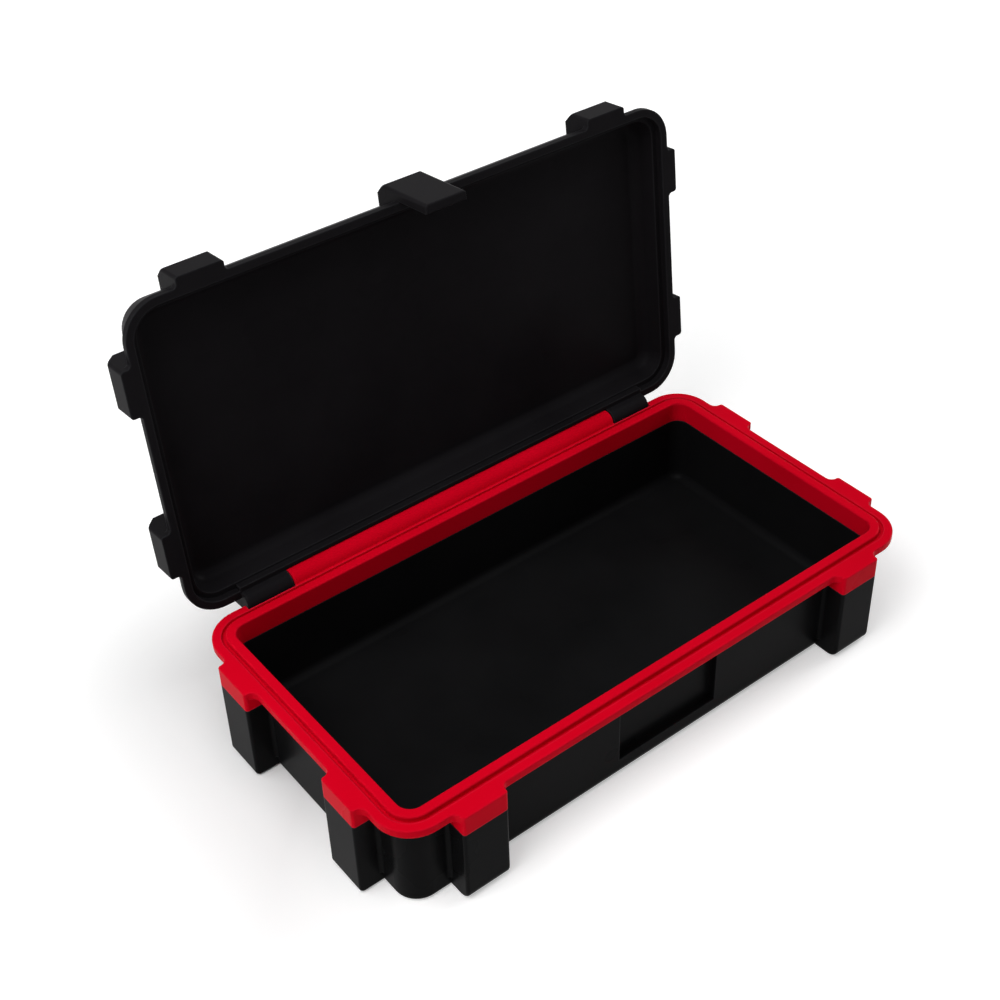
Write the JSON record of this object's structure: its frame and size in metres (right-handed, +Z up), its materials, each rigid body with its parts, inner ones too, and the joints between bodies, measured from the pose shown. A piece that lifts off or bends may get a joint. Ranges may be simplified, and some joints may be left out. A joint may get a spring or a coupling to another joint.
{
  "type": "plastic pencil box",
  "caption": "Rectangular moulded pencil box: a low tub with a two-tone rim, short corner blocks and a finger recess, closed by a rear-hinged dished lid with a front tab.",
  "frame": {"origin": "centre of the tub's flat underside", "axes": "+X along the box, to the right when the finger recess and the lid's tab face you; +Y from front to back, towards the hinge; +Z up from the table"},
  "size_m": [0.2158, 0.1403, 0.1529],
  "materials": {
    "body_plastic": "satin black moulding",
    "rim_plastic": "glossy red moulding",
    "lid_plastic": "satin black moulding",
    "pin_steel": "plain steel wire"
  },
  "bodies": {
    "base": {"tub": "body_plastic", "rim_frame": "rim_plastic", "hinge_pin_left": "pin_steel", "hinge_pin_right": "pin_steel"},
    "lid": {"lid": "lid_plastic"}
  },
  "joints": [
    {"name": "lid_hinge", "type": "hinge", "parent": "base", "child": "lid", "pos_m": [0, 0.0572, 0.0358], "axis": [1, 0, 0], "range_deg": [0, 95.9]}
  ]
}
